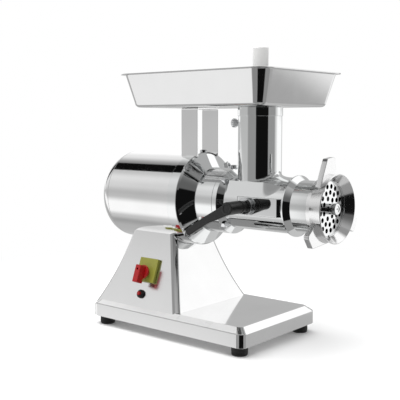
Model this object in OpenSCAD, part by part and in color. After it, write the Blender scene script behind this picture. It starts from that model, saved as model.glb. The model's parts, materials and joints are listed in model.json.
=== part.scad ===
// Electric meat grinder: motor drum on a flared pedestal, feed tray, throat and grinding head.
// The auger axis runs along X and the outlet faces +X. The switch and the clamp lever are on the -Y side.
// The origin is on the floor, under the middle of the whole machine.

/* [Base] */
// Length of the base along the auger axis
base_l = 378; // [370:1:390]
// Width of the base
base_w = 238; // [232:1:244]
// Height of the rubber feet
foot_h = 17.4; // [15:0.1:20]
// Diameter of the rubber feet
foot_d = 30; // [26:1:32]

/* [Drum] */
// Height of the auger axis above the floor
axis_z = 257; // [255:1:262]
// Radius of the motor drum
drum_r = 88.5; // [88:0.1:89]

/* [Front casting] */
// Radius of the neck that the head bolts to
neck_r = 61.5; // [61:0.5:63]

/* [Head] */
// Outer radius of the barrel
barrel_r = 50; // [49.5:0.1:50.5]
// Inner radius of the barrel
bore_r = 42.5; // [42.3:0.1:42.8]
// Outer radius of the barrel's front flange
rim_flange_r = 54.5; // [53:0.5:55]
// Radius of the ring nut's front rim
ring_r = 60; // [59:0.5:62]
// Place of the ring nut's front rim
ring_x1 = 252; // [251:1:253]
// Radius of the perforated plate
plate_r = 49.4; // [49.2:0.1:49.4]

/* [Throat and tray] */
// Outer radius of the feed throat
throat_r = 40; // [39:0.5:41]
// Height of the tray's underside
tray_z0 = 432; // [430:1:436]
// Height of the tray's rim
tray_z1 = 494; // [490:1:500]
// Length of the tray's rim
tray_l = 346; // [340:1:350]
// Width of the tray's rim
tray_w = 262; // [256:1:266]
// Place of the middle of the tray
tray_x = 17.4; // [15:0.1:19]

/* [Pusher] */
// Height of the pusher's top end
pusher_top = 540; // [535:1:560]
// Diameter of the pusher's rod
pusher_d = 28; // [24:1:30]

/* [Controls] */
// Side of the square switch plate
switch_s = 47; // [44:1:48]
// Diameter of the reset button's bezel
bezel_d = 17; // [16:1:20]

/* [Hidden] */

$fn = 96;
eps = 0.01;
joint_gap = 0.3;
run_gap = 0.05;
sheet_t = 2;

base_x = -50;
skirt_top = 42.2;
deck_z = 51.7;
deck_inset = 12.2;
base_corner_r = 14.3;
cover_t = 2;
foot_inset = 22;

pedestal_x = -126;
pedestal_corner_r = 12;
pedestal_top = 205;
flare_r = 680;
flare_half0 = 108.4;
flare_lean0 = 26.6;
flare_zc = deck_z + flare_r * sin(flare_lean0);

drum_x0 = -252;
drum_x1 = -61;
cap_edge_r = 30;
cap_seam_x = drum_x0 + cap_edge_r;
stator_x0 = -192;
stator_x1 = -122;
stator_bore_r = 48.2;
motor_shaft_r = 8.5;
bearing_r = 20;
rear_shield_x = -222;
front_shield_x = -100;
shield_t = 6;

band_r = 90;
neck_x0 = -16;
neck_x1 = 24;
cone_x0 = -36;
cone_r0 = 87;
casting_t = 4;
web_x0 = -32;
web_x1 = 0;
lug_w = 20;
lug_h = 5;
lug_bolt_s = 4;
lug_angles = [45, 135, 225, 315];
plug_x = -46;

gear_m = 1.4;
pinion_t = 16;
wheel_t = 48;
second_pinion_t = 18;
output_t = 46;
pitch_offset = gear_m * (pinion_t + wheel_t) / 2;
stage1_x = -86;
stage1_w = 16;
stage2_x = -64;
stage2_w = 22;
counter_r = 8;
counter_z = axis_z - pitch_offset;
output_r = 15;
output_bearing_r = 27.5;
socket_r = 24;
socket_x1 = 33;
seal_r = 34;

head_x0 = neck_x1;
lock_x = 29.5;
bevel_x0 = 34;
barrel_x0 = 43;
flange_x0 = 171;
flange_x1 = 184;
tube_r = 46.5;
tube_x1 = 219;
plate_x0 = 226;
plate_x1 = 234;
nut_x0 = 218.5;
nut_r = 52;
wing_angles = [96, 216, 336];
wing_tip_r = 88;
boss_y = 57;
boss_x0 = 76;
boss_x1 = 165;
boss_h = 33;

lever_x = 101;
lever_end_y = 116;
lever_l = 106;
lever_lean = 28.7;

auger_x0 = 38.5;
auger_x1 = 212;
auger_r = 41.5;
auger_core_r = 20;
auger_turns = 3.2;
pin_r = 10;
pin_square_s = 20;
knife_x0 = 213;
knife_x1 = 225.5;

leg_x = -54;
leg_w = 40;
leg_t = 3;
leg_y = 31;
leg_z0 = 342.5;

throat_x = 88;
throat_in_r = 36;
spigot_r = 35.7;
spigot_z0 = 396;
thumb_z = 403;
rod_r = pusher_d / 2;
pusher_z0 = 304;

switch_z = 117;
switch_x = -117.5;
switch_t = 6;
handle_drop = 6;
gland_y = 60;
gland_z = 30;
reset_z = 73;
reset_x = -121;

// ---- Shared shapes -------------------------------------------------------------------------------

// Cylinder along X from x0 to x1, centred on the auger axis
module axial(x0, x1, r) {
  translate([x0, 0, axis_z]) rotate([0, 90, 0]) cylinder(r = r, h = x1 - x0);
}

// Ring along X around the auger axis
module axial_ring(x0, x1, r_out, r_in) {
  difference() {
    axial(x0, x1, r_out);
    axial(x0 - 1, x1 + 1, r_in);
  }
}

// Body of revolution about the auger axis, from [x, radius] points
module axial_turned(points) {
  translate([0, 0, axis_z]) rotate([0, 90, 0])
    rotate_extrude() polygon([for (p = points) [p[1], p[0]]]);
}

// Points of an arc about c, in the plane of the profile
function arc(c, r, a0, a1, n) = [
  for (i = [0 : n]) c + r * [cos(a0 + (a1 - a0) * i / n), sin(a0 + (a1 - a0) * i / n)]
];

// Upright extrusion along Y of an outline given as [half width, z] steps
module gable(steps, depth) {
  rotate([90, 0, 0]) linear_extrude(depth, center = true)
    polygon(concat(
      [for (s = steps) [s[0], s[1]]],
      [for (i = [len(steps) - 1 : -1 : 0]) [-steps[i][0], steps[i][1]]]
    ));
}

// Block with a rectangular plan whose sides follow steps of [inset, z], with cut-off corners
module sided_block(l, w, steps, corner_r) {
  reach = 2 * (l + w);
  diagonal = [for (s = steps) [(l / 2 + w / 2 - 2 * s[0] - 2 * corner_r) / sqrt(2) + corner_r, s[1]]];
  intersection() {
    gable([for (s = steps) [l / 2 - s[0], s[1]]], reach);
    rotate([0, 0, 90]) gable([for (s = steps) [w / 2 - s[0], s[1]]], reach);
    rotate([0, 0, 45]) gable(diagonal, reach);
    rotate([0, 0, -45]) gable(diagonal, reach);
  }
}

// Spur gear along X with involute flanks; a tooth points along +Y turned by phase
module spur_gear(teeth, width, bore_r, phase) {
  pitch_r = gear_m * teeth / 2;
  base_r = pitch_r * cos(20);
  tip_r = pitch_r + gear_m;
  root_r = pitch_r - 1.25 * gear_m;
  backlash = 0.3;
  half_angle = (90 / teeth) - backlash / pitch_r * 90 / PI;
  function inv(r) = r <= base_r ? 0 : let (t = acos(base_r / r)) tan(t) * 180 / PI - t;
  function flank(r) = half_angle + inv(pitch_r) - inv(r);
  radii = [root_r, max(base_r, root_r + 0.1), pitch_r, (pitch_r + tip_r) / 2, tip_r];
  outline = [
    for (i = [0 : teeth - 1])
      let (mid = i * 360 / teeth + phase)
        for (p = concat(
          [for (r = radii) [r, -flank(r)]],
          [for (k = [len(radii) - 1 : -1 : 0]) [radii[k], flank(radii[k])]]
        )) p[0] * [cos(mid + p[1]), sin(mid + p[1])]
  ];
  rotate([90, 0, 90]) linear_extrude(width) difference() {
    polygon(outline);
    circle(r = bore_r);
  }
}

// Socket-head screw along +Z with its head's top at the origin
module socket_screw(head_r, head_h, shank_r, shank_l) {
  difference() {
    union() {
      translate([0, 0, -head_h]) cylinder(r = head_r, h = head_h, $fn = 48);
      translate([0, 0, -head_h - shank_l]) cylinder(r = shank_r, h = shank_l + eps, $fn = 32);
    }
    translate([0, 0, -head_h * 0.6]) cylinder(r = head_r * 0.5, h = head_h, $fn = 6);
  }
}

// ---- Base and pedestal -----------------------------------------------------------------------------

// Solid outer shape of the base, shrunk by t for its inside
module base_block(t) {
  translate([base_x, 0, 0]) sided_block(base_l - 2 * t, base_w - 2 * t,
    [[0, foot_h - (t > 0 ? 1 : 0)], [0, skirt_top - t / 2], [deck_inset - t * 0.2, deck_z - t]],
    base_corner_r - t);
}

module base_shell() {
  color("gainsboro") difference() {
    base_block(0);
    base_block(1.5);
    translate([pedestal_x - 90, -90, deck_z - 5]) cube([180, 180, 10]);
    translate([base_x - base_l / 2 - 1, gland_y, gland_z]) rotate([0, 90, 0]) cylinder(r = 8, h = 6);
  }
}

module bottom_cover() {
  inset = 1.7;
  color("silver") difference() {
    intersection() {
      base_block(inset);
      translate([base_x, 0, foot_h + cover_t / 2]) cube([base_l, base_w, cover_t], center = true);
    }
    at_feet() cylinder(r = 3.3, h = 60, center = true, $fn = 32);
  }
}

// Children placed at each of the four feet
module at_feet() {
  for (sx = [-1, 1], sy = [-1, 1])
    translate([base_x + sx * (base_l / 2 - foot_inset), sy * (base_w / 2 - foot_inset), 0]) children();
}

module feet() {
  color("black") at_feet() translate([0, 0, foot_h / 2]) rotate_extrude()
    polygon([
      [3.3, 3 - foot_h / 2], [7, 3 - foot_h / 2], [7, -foot_h / 2], [foot_d / 2 - 2, -foot_h / 2],
      [foot_d / 2, 2 - foot_h / 2], [foot_d / 2, foot_h / 2], [3.3, foot_h / 2]
    ]);
}

module foot_screws() {
  color("silver") at_feet() translate([0, 0, 0.6]) rotate([180, 0, 0])
    socket_screw(5.5, 2.4, 3, foot_h + 4);
}

// Half width of the pedestal at height z, on a concave arc
function flare_half(z) =
  flare_half0 + flare_r * cos(flare_lean0) - sqrt(pow(flare_r, 2) - pow(flare_zc - z, 2));

// Solid pedestal, with its walls moved in by t
module pedestal_block(t) {
  levels = 14;
  z0 = t > 0 ? skirt_top - 1 : skirt_top;
  steps = [
    for (i = [0 : levels])
      let (z = z0 + (pedestal_top - z0) * i / levels) [flare_half0 - flare_half(z) + t, z]
  ];
  translate([pedestal_x, 0, 0])
    sided_block(2 * flare_half0, 2 * flare_half0, steps, pedestal_corner_r - t);
}

module pedestal_shell() {
  color("gainsboro") difference() {
    intersection() {
      pedestal_block(0);
      translate([base_x, 0, 150]) cube([base_l, base_w, 300], center = true);
    }
    pedestal_block(sheet_t);
    base_block(0);
    axial(drum_x0, neck_x1, drum_r);
    axial(drum_x1, neck_x1, band_r);
    on_panel(switch_x, switch_z) cube([42, 42, 30], center = true);
    on_panel(reset_x, reset_z) cylinder(r = 6.2, h = 30, center = true, $fn = 48);
  }
}

// Lean of the near wall at height z, in degrees from vertical
function panel_lean(z) = asin((flare_zc - z) / flare_r);

// Children placed on the near wall, with Z along its outward normal
module on_panel(x, z) {
  translate([x, -flare_half(z), z]) rotate([90 - panel_lean(z), 0, 0]) children();
}

// ---- Drum and motor ----------------------------------------------------------------------------------

module drum_shell() {
  color("lightgray") axial_ring(cap_seam_x, drum_x1, drum_r, drum_r - sheet_t);
}

module rear_cap() {
  t = sheet_t;
  c = [cap_seam_x, drum_r - cap_edge_r];
  color("lightgray") axial_turned(concat(
    [[drum_x0, 0]],
    arc(c, cap_edge_r, 180, 90, 12),
    arc(c, cap_edge_r - t, 90, 180, 12),
    [[drum_x0 + t, 0]]
  ));
}

// Disc with a bearing seat that closes one end of the motor
module end_shield(x0, hub_x0, hub_x1) {
  difference() {
    union() {
      axial(x0, x0 + shield_t, drum_r - sheet_t - 0.1);
      axial(hub_x0, hub_x1, bearing_r + 5);
    }
    axial(hub_x0 - 1, hub_x1 + 1, bearing_r);
  }
}

module rear_end_shield() {
  color("darkgray") end_shield(rear_shield_x, rear_shield_x, rear_shield_x + 12);
}

module front_end_shield() {
  color("darkgray") difference() {
    end_shield(front_shield_x, front_shield_x - 4, front_shield_x + 8);
    translate([front_shield_x + 2, 0, -pitch_offset]) axial(0, 10, counter_r + run_gap);
  }
}

// Ball bearing, simplified to one ring
module bearing(x0, width, r_out, r_in) {
  axial_ring(x0, x0 + width, r_out, r_in);
}

module rear_motor_bearing() {
  color("silver") bearing(rear_shield_x, 12, bearing_r, motor_shaft_r + run_gap);
}

module front_motor_bearing() {
  color("silver") bearing(front_shield_x - 4, 12, bearing_r, motor_shaft_r + run_gap);
}

module motor_stator() {
  color("slategray") axial_ring(stator_x0, stator_x1, drum_r - sheet_t - 0.1, stator_bore_r);
}

module motor_windings() {
  color("chocolate") for (x = [stator_x0 - 14, stator_x1])
    axial_ring(x, x + 14, 72, 54);
}

module motor_rotor() {
  color("slategray") axial_ring(stator_x0, stator_x1, stator_bore_r - 0.6, motor_shaft_r);
}

module motor_shaft() {
  color("silver") axial(drum_x0 + 8, stage1_x + stage1_w, motor_shaft_r);
}

module motor_fan() {
  blades = 8;
  fan_x0 = rear_shield_x - 18;
  disc_x = rear_shield_x - 8;
  disc_t = 3;
  color("dimgray") union() {
    axial_ring(fan_x0, disc_x + disc_t, 14, motor_shaft_r);
    axial_ring(disc_x, disc_x + disc_t, 52, motor_shaft_r);
    for (i = [0 : blades - 1])
      translate([fan_x0 + 3, 0, axis_z]) rotate([i * 360 / blades, 0, 0])
        translate([0, -1.2, 13]) cube([8, 2.4, 36]);
  }
}

module motor_pinion() {
  color("silver") translate([stage1_x, 0, axis_z])
    spur_gear(pinion_t, stage1_w, motor_shaft_r, -90);
}

// ---- Gearbox -------------------------------------------------------------------------------------------

// Children placed on the cone at one angle: X runs down the slope, Z is the outward normal
module on_cone(angle) {
  run = neck_x0 - cone_x0;
  drop = cone_r0 - neck_r;
  translate([0, 0, axis_z]) rotate([angle, 0, 0])
    translate([cone_x0, cone_r0, 0]) rotate([0, 0, -atan2(drop, run)]) rotate([-90, 0, 0]) children();
}

module gearbox_housing() {
  t = casting_t;
  round_r = 4;
  slope_l = norm([neck_x0 - cone_x0, cone_r0 - neck_r]);
  color("silver") difference() {
    union() {
      axial_turned([
        [drum_x1, drum_r - sheet_t], [drum_x1, band_r], [cone_x0 - round_r, band_r],
        [cone_x0, cone_r0], [neck_x0, neck_r], [neck_x1, neck_r], [neck_x1, neck_r - t],
        [web_x0 + 22, neck_r - t], [web_x0 + 14, neck_r - t], [cone_x0 - 4, cone_r0 - t], [drum_x1, cone_r0 - t]
      ]);
      axial(web_x0 + 16, web_x0 + 26, neck_r - t + eps);
      axial(web_x0, web_x1, output_bearing_r + 5);
      for (a = lug_angles) on_cone(a) {
        translate([lug_bolt_s, -lug_w / 2, -3]) cube([slope_l - lug_bolt_s, lug_w, lug_h + 3]);
        translate([lug_bolt_s, 0, -3]) cylinder(r = lug_w / 2, h = lug_h + 3);
      }
    }
    axial(web_x0 - 1, web_x1 + 1, output_bearing_r);
    translate([0, 0, -pitch_offset]) axial(web_x0, web_x0 + 22, counter_r + run_gap);
    axial(drum_x1 - 1, cone_x0 - 6, cone_r0 - t);
    for (a = lug_angles) on_cone(a) translate([lug_bolt_s, 0, -10]) cylinder(r = 3.05, h = 30, $fn = 32);
    translate([plug_x, 0, axis_z + 70]) cylinder(r = 5.05, h = 30, $fn = 32);
  }
}

module housing_bolts() {
  color("silver") for (a = lug_angles) on_cone(a) translate([lug_bolt_s, 0, lug_h + 2.5])
    socket_screw(5.5, 2.5, 3, 9);
}

module oil_plug() {
  color("silver") translate([plug_x, 0, axis_z + band_r]) union() {
    cylinder(r = 6.5, h = 4.5, $fn = 6);
    cylinder(r = 7.5, h = 1.2, $fn = 48);
    translate([0, 0, -6]) cylinder(r = 5, h = 7, $fn = 32);
  }
}

module reduction_gear() {
  color("silver") translate([stage1_x, 0, counter_z])
    spur_gear(wheel_t, stage1_w, counter_r, 90 + 180 / wheel_t);
}

module countershaft() {
  color("silver") translate([0, 0, -pitch_offset])
    axial(front_shield_x + 3, web_x0 + 21, counter_r);
}

module countershaft_pinion() {
  color("silver") translate([stage2_x, 0, counter_z])
    spur_gear(second_pinion_t, stage2_w, counter_r, 90);
}

module output_gear() {
  color("silver") translate([stage2_x, 0, axis_z])
    spur_gear(output_t, stage2_w, output_r, -90 + 180 / output_t);
}

module output_shaft() {
  color("silver") difference() {
    union() {
      axial(stage2_x - 1, web_x1 + 2, output_r);
      axial(web_x1 + 1, socket_x1, socket_r);
    }
    translate([socket_x1 - 21, -8, axis_z - 13]) cube([30, 16, 26]);
  }
}

module output_bearings() {
  color("silver") for (x = [web_x0 + 1, web_x1 - 14])
    bearing(x, 13, output_bearing_r, output_r + run_gap);
}

module seal_plate() {
  color("darkgray") axial_ring(neck_x1 - 10, neck_x1 - 1, neck_r - casting_t, seal_r);
}

module oil_seal() {
  color("saddlebrown") axial_ring(neck_x1 - 9, neck_x1 - 1, seal_r, socket_r + run_gap);
}

// ---- Grinding head --------------------------------------------------------------------------------------

module head_barrel() {
  color("silver") difference() {
    union() {
      axial_turned([
        [head_x0, 0], [head_x0, neck_r], [bevel_x0, neck_r], [barrel_x0, barrel_r], [flange_x0, barrel_r],
        [flange_x0, rim_flange_r], [flange_x0 + 3, rim_flange_r], [flange_x1, tube_r],
        [tube_x1, tube_r], [tube_x1, plate_r], [plate_x0, plate_r], [plate_x0, 0]
      ]);
      lever_boss();
    }
    axial(head_x0 - 1, bevel_x0 + 1, socket_r + joint_gap);
    axial(bevel_x0, plate_x0 + 1, bore_r);
    translate([throat_x, 0, axis_z]) cylinder(r = throat_in_r, h = 80);
    translate([lever_x, -boss_y - 1, axis_z]) rotate([-90, 0, 0]) cylinder(r = 6 + run_gap, h = 9);
    flange_bolt_places() cylinder(r = 4.05, h = 40, center = true, $fn = 32);
    flange_bolt_places() cylinder(r = 7.2, h = 14, $fn = 48);
    translate([lock_x, 0, axis_z + 45]) cylinder(r = 4.05, h = 30, $fn = 32);
  }
}

// Boss along the near side of the barrel that carries the clamp lever, with rounded ends
module lever_boss() {
  end_r = 8;
  depth = boss_y - bore_r + 4;
  translate([0, -boss_y, axis_z - boss_h / 2]) linear_extrude(boss_h) {
    translate([boss_x0 + end_r, 0]) square([boss_x1 - boss_x0 - 2 * end_r, depth]);
    translate([boss_x0, end_r]) square([boss_x1 - boss_x0, depth - end_r]);
    for (x = [boss_x0 + end_r, boss_x1 - end_r]) translate([x, end_r]) circle(r = end_r);
  }
}

// Children placed at the spot faces of the head's four flange bolts, with Z forwards
module flange_bolt_places() {
  bolt_circle_r = 56;
  spot_x = bevel_x0 - 0.5;
  for (a = lug_angles)
    translate([spot_x, 0, axis_z]) rotate([a, 0, 0]) translate([0, bolt_circle_r, 0]) rotate([0, 90, 0]) children();
}

module head_flange_bolts() {
  color("silver") flange_bolt_places() union() {
    cylinder(r = 6.5, h = 9, $fn = 6);
    translate([0, 0, -9]) cylinder(r = 4, h = 9 + eps, $fn = 32);
  }
}

module head_lock_screw() {
  color("silver") translate([lock_x, 0, axis_z + neck_r]) union() {
    cylinder(r = 6.5, h = 6, $fn = 6);
    translate([0, 0, -9]) cylinder(r = 4, h = 9 + eps, $fn = 32);
  }
}

module feed_throat() {
  collar_h = 16;
  color("silver") difference() {
    union() {
      translate([throat_x, 0, axis_z]) cylinder(r = throat_r, h = tray_z0 - axis_z - 0.3);
      translate([throat_x, 0, tray_z0 - collar_h]) cylinder(r = throat_r + 1.2, h = collar_h - 0.3);
    }
    translate([throat_x, 0, axis_z - 1]) cylinder(r = throat_in_r, h = 200);
    axial(barrel_x0, flange_x0, barrel_r);
    translate([throat_x - 50, 0, thumb_z]) rotate([0, 90, 0]) cylinder(r = 3 + run_gap, h = 20, $fn = 32);
  }
}

module auger() {
  flight_t = 7;
  length = auger_x1 - auger_x0;
  color("silver") union() {
    translate([auger_x0 + 4, 0, axis_z]) rotate([0, 90, 0])
      linear_extrude(length - 4, twist = -360 * auger_turns, slices = 64, $fn = 16) union() {
        circle(r = auger_core_r, $fn = 24);
        translate([0, -flight_t / 2]) square([auger_r, flight_t]);
      }
    axial(auger_x0 - 5, auger_x0 + 4.5, auger_core_r);
    translate([socket_x1 - 20, -7.8, axis_z - 12.8]) cube([21, 15.6, 25.6]);
  }
}

module auger_pin() {
  s = pin_square_s;
  color("silver") union() {
    axial(auger_x1, ring_x1 - 1, pin_r);
    translate([auger_x1, -s / 2, axis_z - s / 2]) cube([knife_x1 - auger_x1, s, s]);
  }
}

module thrust_washer() {
  color("goldenrod") axial_ring(bevel_x0 + 0.3, bevel_x0 + 4, 40, auger_core_r + run_gap);
}

module knife() {
  arm_l = 41;
  arm_w = 12;
  color("silver") translate([knife_x0, 0, axis_z]) rotate([90, 0, 90])
    linear_extrude(knife_x1 - knife_x0) difference() {
      union() {
        circle(r = 19);
        for (a = [45, 135]) rotate(a) square([2 * arm_l, arm_w], center = true);
      }
      square(pin_square_s + 2 * run_gap, center = true);
    }
}

module perforated_plate() {
  rings = [[17.5, 7], [28, 13], [38.5, 18]];
  hole_r = 4.2;
  color("silver") difference() {
    axial(plate_x0, plate_x1, plate_r);
    axial(plate_x0 - 1, plate_x1 + 1, pin_r + run_gap);
    for (ring = rings, i = [0 : ring[1] - 1])
      translate([plate_x0 - 1, 0, axis_z]) rotate([i * 360 / ring[1], 0, 0])
        translate([0, ring[0], 0]) rotate([0, 90, 0]) cylinder(r = hole_r, h = 20, $fn = 24);
    translate([plate_x0 - 1, -2.6, axis_z - plate_r - 1]) cube([20, 5.2, 4.5]);
  }
}

module plate_key() {
  color("silver") translate([plate_x0, -2.4, axis_z - plate_r + 0.3]) cube([plate_x1 - plate_x0, 4.8, 2.9]);
}

module ring_nut() {
  lip_r = 47.5;
  wing_x = ring_x1 - 20;
  wing_t = 10;
  color("silver") union() {
    axial_turned([
      [nut_x0, plate_r + joint_gap], [nut_x0, nut_r], [nut_x0 + 8, nut_r + 1], [ring_x1 - 3, ring_r],
      [ring_x1, ring_r], [ring_x1, ring_r - 1.5], [plate_x1 + 3.5, lip_r], [plate_x1 + joint_gap, lip_r],
      [plate_x1 + joint_gap, plate_r + joint_gap]
    ]);
    difference() {
      for (a = wing_angles) translate([wing_x, 0, axis_z]) rotate([a - 90, 0, 0]) rotate([90, 0, 90])
        linear_extrude(wing_t) polygon([
          [-38, 44], [-14, wing_tip_r - 4], [-11, wing_tip_r], [10, wing_tip_r], [14, wing_tip_r - 3], [16, 44]
        ]);
      axial(wing_x - 1, wing_x + wing_t + 1, nut_r + 1);
    }
  }
}

// ---- Clamp lever ------------------------------------------------------------------------------------------

module clamp_lever() {
  hub_r = 11.5;
  arm_y = -lever_end_y;
  arm_t = 9;
  color("black") union() {
    translate([lever_x, arm_y, axis_z]) rotate([-90, 0, 0]) cylinder(r = hub_r, h = lever_end_y - boss_y - 7.5);
    translate([lever_x, arm_y, axis_z]) rotate([0, 180 - lever_lean, 0]) {
      translate([0, 0, -7]) cube([lever_l - 7, arm_t, 14]);
      translate([lever_l - 7, 0, 0]) rotate([-90, 0, 0]) cylinder(r = 7, h = arm_t);
    }
  }
}

module clamp_stud() {
  color("silver") translate([lever_x, -boss_y - 7.5, axis_z]) rotate([-90, 0, 0]) cylinder(r = 6, h = 15);
}

module clamp_collar() {
  color("silver") translate([lever_x, -boss_y - 7, axis_z]) rotate([-90, 0, 0]) difference() {
    union() {
      cylinder(r = 13.5, h = 3);
      translate([0, 0, 2]) cylinder(r = 15.5, h = 5);
    }
    translate([0, 0, -1]) cylinder(r = 6 + run_gap, h = 10);
  }
}

// ---- Tray, its support and the pusher ------------------------------------------------------------------------

// Solid tray shape, with its walls moved in by t
module tray_block(t) {
  floor_z = tray_z0 + t;
  translate([tray_x, 0, 0]) sided_block(tray_l, tray_w,
    [[28 + t, floor_z], [22 + t, floor_z + 5], [8 + t, tray_z1 + (t > 0 ? 1 : 0)]], 22);
}

module tray() {
  t = 1.5;
  color("gainsboro") difference() {
    union() {
      tray_block(0);
      translate([tray_x, 0, 0]) sided_block(tray_l, tray_w, [[2, tray_z1 - 3], [0, tray_z1 - 2], [0, tray_z1]], 28);
    }
    tray_block(t);
    translate([throat_x, 0, tray_z0 - 1]) cylinder(r = spigot_r, h = 10);
  }
}

module tray_spigot() {
  color("gainsboro") translate([throat_x, 0, spigot_z0]) difference() {
    cylinder(r = spigot_r, h = tray_z0 + 1.5 - spigot_z0);
    translate([0, 0, -1]) cylinder(r = spigot_r - 1.5, h = 60);
  }
}

module tray_thumb_screw() {
  knob_x = throat_x - 62;
  color("silver") translate([knob_x, 0, thumb_z]) rotate([0, 90, 0]) {
    cylinder(r = 8.4, h = 7);
    translate([0, 0, 7 - eps]) cylinder(r = 5.5, h = 6);
    translate([0, 0, 13 - eps]) cylinder(r = 3, h = 13, $fn = 32);
  }
}

module tray_support() {
  bridge_z = tray_z0 - 0.3;
  color("silver") difference() {
    union() {
      for (s = [-1, 1])
        translate([leg_x - leg_w / 2, s * leg_y - leg_t / 2, leg_z0 - 6]) cube([leg_w, leg_t, bridge_z - leg_z0 + 6]);
      translate([leg_x - leg_w / 2, -leg_y, bridge_z - leg_t]) cube([leg_w, 2 * leg_y, leg_t]);
    }
    axial(cap_seam_x, drum_x1, drum_r);
    axial(drum_x1, neck_x1, band_r);
  }
}

module pusher_rod() {
  color("white") translate([throat_x, 0, pusher_z0 + 20]) rotate_extrude()
    polygon(concat(
      [[0, 0], [rod_r, 0]],
      arc([rod_r - 3, pusher_top - pusher_z0 - 23], 3, 0, 90, 6),
      [[0, pusher_top - pusher_z0 - 20]]
    ));
}

module pusher_head() {
  color("white") translate([throat_x, 0, pusher_z0]) rotate_extrude()
    polygon([[0, 0], [31, 0], [33, 2], [33, 14], [rod_r, 20], [0, 20]]);
}

// ---- Controls and electrics ---------------------------------------------------------------------------------

module switch_plate() {
  color("olive") on_panel(switch_x, switch_z) translate([0, 0, 0.5]) difference() {
    translate([-switch_s / 2, -switch_s / 2, 0]) cube([switch_s, switch_s, switch_t]);
    translate([0, -handle_drop, switch_t - 4]) cylinder(r = 8 + run_gap, h = 10);
  }
}

module switch_body() {
  color("dimgray") on_panel(switch_x, switch_z) translate([-20.5, -20.5, -44.5]) cube([41, 41, 45]);
}

module switch_handle() {
  disc_z = 6.5;
  bar_z = 11;
  color("firebrick") on_panel(switch_x, switch_z) translate([0, -handle_drop, 0.5 + switch_t]) difference() {
    union() {
      translate([0, 0, -3.5]) cylinder(r = 8, h = disc_z + 4);
      translate([0, 0, disc_z]) cylinder(r = 14, h = bar_z - disc_z + 1);
      translate([-6.5, -23, bar_z]) cube([13, 34, 15.3]);
    }
    translate([0, 3, bar_z + 9]) cylinder(r = 2.2, h = 10, $fn = 32);
  }
}

module reset_bezel() {
  color("black") on_panel(reset_x, reset_z) difference() {
    union() {
      translate([0, 0, 0.4]) cylinder(r1 = bezel_d / 2, r2 = bezel_d / 2 - 1, h = 6);
      translate([0, 0, -5]) cylinder(r = 6, h = 6);
    }
    translate([0, 0, -6]) cylinder(r = 4.3, h = 20);
  }
}

module reset_button() {
  color("firebrick") on_panel(reset_x, reset_z) translate([0, 0, -1]) cylinder(r = 4, h = 11);
}

module reset_breaker() {
  color("dimgray") on_panel(reset_x, reset_z) translate([-9, -9, -34]) cube([18, 18, 28.5]);
}

module cable_gland() {
  color("black") translate([base_x - base_l / 2, gland_y, gland_z]) rotate([0, -90, 0]) difference() {
    union() {
      cylinder(r = 10, h = 5, $fn = 6);
      translate([0, 0, 4.9]) cylinder(r = 8, h = 7);
      translate([0, 0, -6]) cylinder(r = 7.8, h = 7);
    }
    translate([0, 0, -7]) cylinder(r = 4, h = 30);
  }
}

module run_capacitor() {
  color("gray") translate([base_x + 20, 40, foot_h + cover_t + 11]) rotate([0, 90, 0]) cylinder(r = 10.5, h = 90);
}

module terminal_block() {
  color("ivory") translate([base_x - 150, 30, foot_h + cover_t]) cube([20, 50, 14]);
}

// ---- Assembly ------------------------------------------------------------------------------------------------

base_shell();
bottom_cover();
feet();
foot_screws();
pedestal_shell();
drum_shell();
rear_cap();
rear_end_shield();
front_end_shield();
motor_stator();
motor_windings();
motor_rotor();
motor_shaft();
motor_fan();
rear_motor_bearing();
front_motor_bearing();
motor_pinion();
gearbox_housing();
housing_bolts();
oil_plug();
reduction_gear();
countershaft();
countershaft_pinion();
output_gear();
output_shaft();
output_bearings();
seal_plate();
oil_seal();
head_barrel();
head_flange_bolts();
head_lock_screw();
feed_throat();
auger();
auger_pin();
thrust_washer();
knife();
perforated_plate();
plate_key();
ring_nut();
clamp_lever();
clamp_stud();
clamp_collar();
tray();
tray_spigot();
tray_thumb_screw();
tray_support();
pusher_rod();
pusher_head();
switch_plate();
switch_body();
switch_handle();
reset_bezel();
reset_button();
reset_breaker();
cable_gland();
run_capacitor();
terminal_block();
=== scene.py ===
"""Looks of the electric meat grinder: polished steel in a white studio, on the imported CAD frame."""

import json
import math

import bmesh
import bpy
from mathutils import Matrix, Vector


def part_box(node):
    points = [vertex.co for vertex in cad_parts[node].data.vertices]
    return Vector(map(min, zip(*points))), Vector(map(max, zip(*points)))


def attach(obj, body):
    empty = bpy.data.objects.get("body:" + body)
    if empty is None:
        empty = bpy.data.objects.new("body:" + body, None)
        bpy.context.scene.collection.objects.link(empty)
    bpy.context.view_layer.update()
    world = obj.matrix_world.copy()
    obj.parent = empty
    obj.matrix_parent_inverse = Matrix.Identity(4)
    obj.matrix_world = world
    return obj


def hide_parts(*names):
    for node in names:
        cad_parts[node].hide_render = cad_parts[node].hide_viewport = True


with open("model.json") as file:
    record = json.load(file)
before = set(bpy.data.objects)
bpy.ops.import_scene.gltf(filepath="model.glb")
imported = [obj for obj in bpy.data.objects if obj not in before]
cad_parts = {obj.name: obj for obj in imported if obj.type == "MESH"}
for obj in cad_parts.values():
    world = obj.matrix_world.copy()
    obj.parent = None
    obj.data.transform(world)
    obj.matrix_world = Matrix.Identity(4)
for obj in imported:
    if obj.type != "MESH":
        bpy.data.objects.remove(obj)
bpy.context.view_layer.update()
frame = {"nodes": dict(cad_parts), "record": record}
MM = 0.001
TURN = 2 * math.pi
SLOTS = {s["node"]: s["material_slot"] for s in frame["record"]["subparts"]}
BODIES = {n: body for body, nodes in frame["record"]["behaviour"]["bodies"].items() for n in nodes}


# ---- Where things are, from the frame ----------------------------------------------------------

def middle(node):
    low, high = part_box(node)
    return (low + high) / 2


def size(node):
    low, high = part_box(node)
    return high - low


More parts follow.
